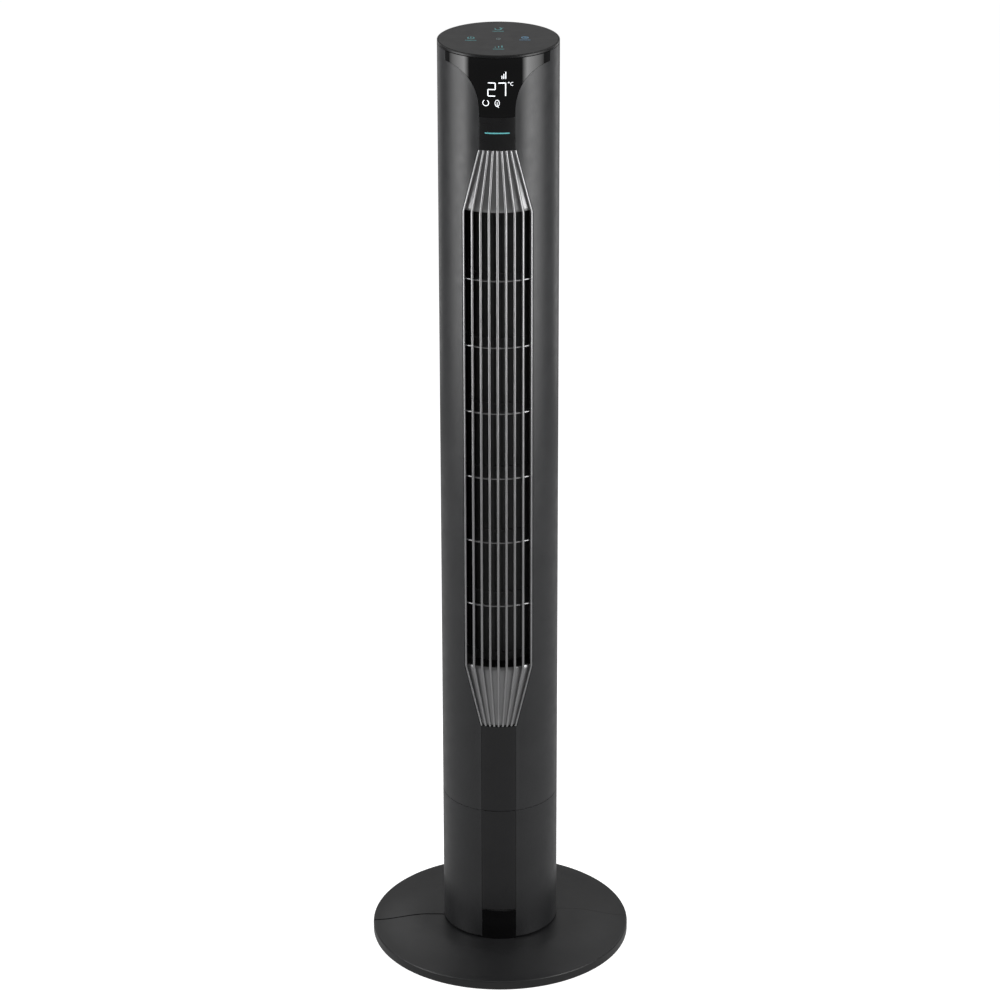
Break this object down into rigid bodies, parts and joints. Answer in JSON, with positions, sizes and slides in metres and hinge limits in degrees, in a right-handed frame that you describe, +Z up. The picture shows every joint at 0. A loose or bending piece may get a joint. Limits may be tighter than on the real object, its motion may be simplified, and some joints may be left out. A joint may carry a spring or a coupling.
{
  "type": "tower fan",
  "caption": "Slim round tower fan on a two-part disc base, with a ribbed front outlet, gloss display band, touch top and an oscillating body.",
  "frame": {"origin": "on the floor, under the tower's axis, at the middle of the base", "axes": "+Z up the tower, -Y towards the front outlet grille, +X to the right of the fan as seen from the front"},
  "size_m": [0.2936, 0.2936, 1.068],
  "materials": {
    "body_plastic": "satin anthracite",
    "base_plastic": "satin anthracite, finely grained",
    "strip_plastic": "darker satin",
    "gloss_black": "gloss black",
    "satin_black": "satin black",
    "touch_panel": "satin grey with printed symbols",
    "silver_grille": "silver-grey metallic paint on plastic",
    "inner_plastic": "plain black moulding",
    "rubber": "matt black",
    "steel": "zinc-plated",
    "laminations": "stacked sheet steel",
    "bronze": "sintered bronze",
    "acetal": "natural acetal",
    "circuit_board": "green solder mask",
    "display_white": "white display housing",
    "cable": "black PVC"
  },
  "bodies": {
    "stand": {"base_front_half": "base_plastic", "base_rear_half": "base_plastic", "foot_pad_1": "rubber", "foot_pad_2": "rubber", "foot_pad_3": "rubber", "foot_pad_4": "rubber", "base_screw_1": "steel", "base_screw_2": "steel", "base_screw_3": "steel", "base_screw_4": "steel", "column_foot": "satin_black", "column_shell": "body_plastic", "column_strip": "strip_plastic", "column_window": "gloss_black", "cord_grommet": "rubber", "column_lead": "cable", "bearing_plate": "inner_plastic", "fixed_gear": "acetal", "thrust_ring": "acetal"},
    "tower": {"front_panel": "satin_black", "top_cover": "satin_black", "front_shell": "body_plastic", "rear_shell": "body_plastic", "rear_grille": "body_plastic", "front_strip": "strip_plastic", "display_lens": "gloss_black", "motor_damper": "rubber", "tower_lead": "cable", "tower_floor": "inner_plastic", "motor_plate": "inner_plastic", "upper_bearing_plate": "inner_plastic", "scroll_wall": "inner_plastic", "air_tongue": "inner_plastic", "motor_upper_cap": "inner_plastic", "motor_lower_cap": "inner_plastic", "pivot_ring": "steel", "oscillation_motor": "steel", "capacitor": "steel", "motor_upper_bearing": "steel", "motor_lower_bearing": "steel", "shell_screw_1": "steel", "shell_screw_2": "steel", "shell_screw_3": "steel", "shell_screw_4": "steel", "shell_screw_5": "steel", "shell_screw_6": "steel", "front_grille": "silver_grille", "touch_panel": "touch_panel", "touch_board": "circuit_board", "display_board": "circuit_board", "control_board": "circuit_board", "display_module": "display_white", "top_bearing": "bronze", "motor_stator": "laminations"},
    "impeller": {"impeller": "inner_plastic", "stub_shaft": "steel", "motor_shaft": "steel", "motor_rotor": "laminations", "coupling_hub": "rubber"},
    "pinion": {"oscillation_pinion": "acetal"}
  },
  "joints": [
    {"name": "oscillation", "type": "hinge", "parent": "stand", "child": "tower", "pos_m": [0, 0, 0.184], "axis": [0, 0, 1], "range_deg": [-40, 40]},
    {"name": "impeller_spin", "type": "hinge", "parent": "tower", "child": "impeller", "pos_m": [0, 0.004, 0.63], "axis": [0, 0, 1], "continuous": true},
    {"name": "pinion_spin", "type": "hinge", "parent": "tower", "child": "pinion", "pos_m": [0, 0.0315, 0.182], "axis": [0, 0, 1], "range_deg": [-100, 100]}
  ],
  "couplings": [
    {"joint": "pinion_spin", "follows": "oscillation", "ratio": 2.5}
  ]
}
